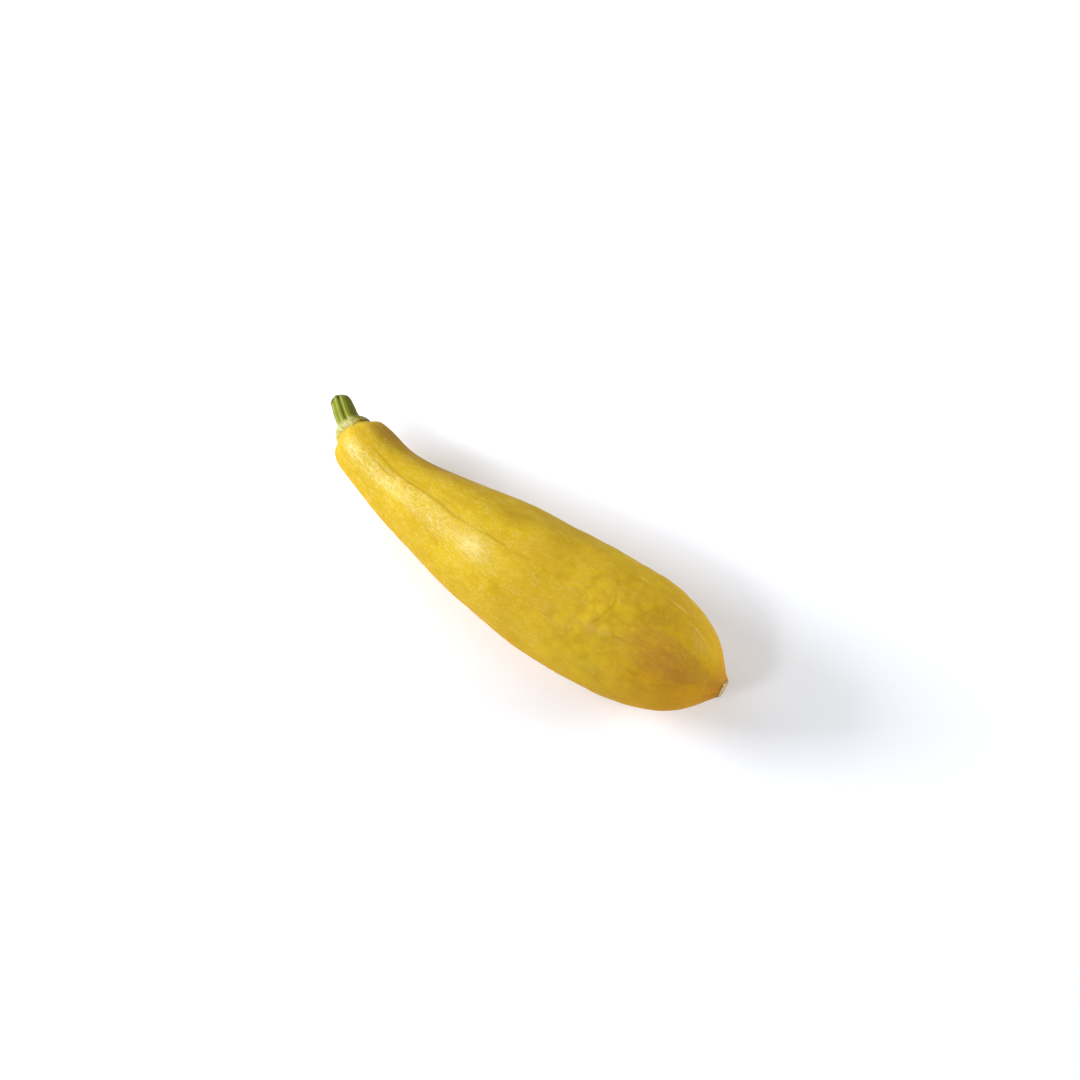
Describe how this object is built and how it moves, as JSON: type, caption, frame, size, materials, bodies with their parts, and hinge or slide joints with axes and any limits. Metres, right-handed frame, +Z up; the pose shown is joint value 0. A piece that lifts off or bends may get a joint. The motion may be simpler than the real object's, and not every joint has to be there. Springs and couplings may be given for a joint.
{
  "type": "yellow squash",
  "caption": "Yellow straightneck summer squash, picked, lying on its side: tapering neck, full belly, corky blossom scar and a short ribbed stem.",
  "frame": {"origin": "centre of the whole squash's box in X and Y, on the surface that it lies on", "axes": "+X from the stem towards the blossom scar, +Z up, +Y the side that the bowed neck opens towards"},
  "size_m": [0.2158, 0.0598, 0.059],
  "materials": {
    "fruit_skin": "waxy satin vegetable skin",
    "stem_skin": "fibrous, matte"
  },
  "bodies": {
    "root": {"fruit": "fruit_skin", "stem": "stem_skin"}
  },
  "joints": []
}
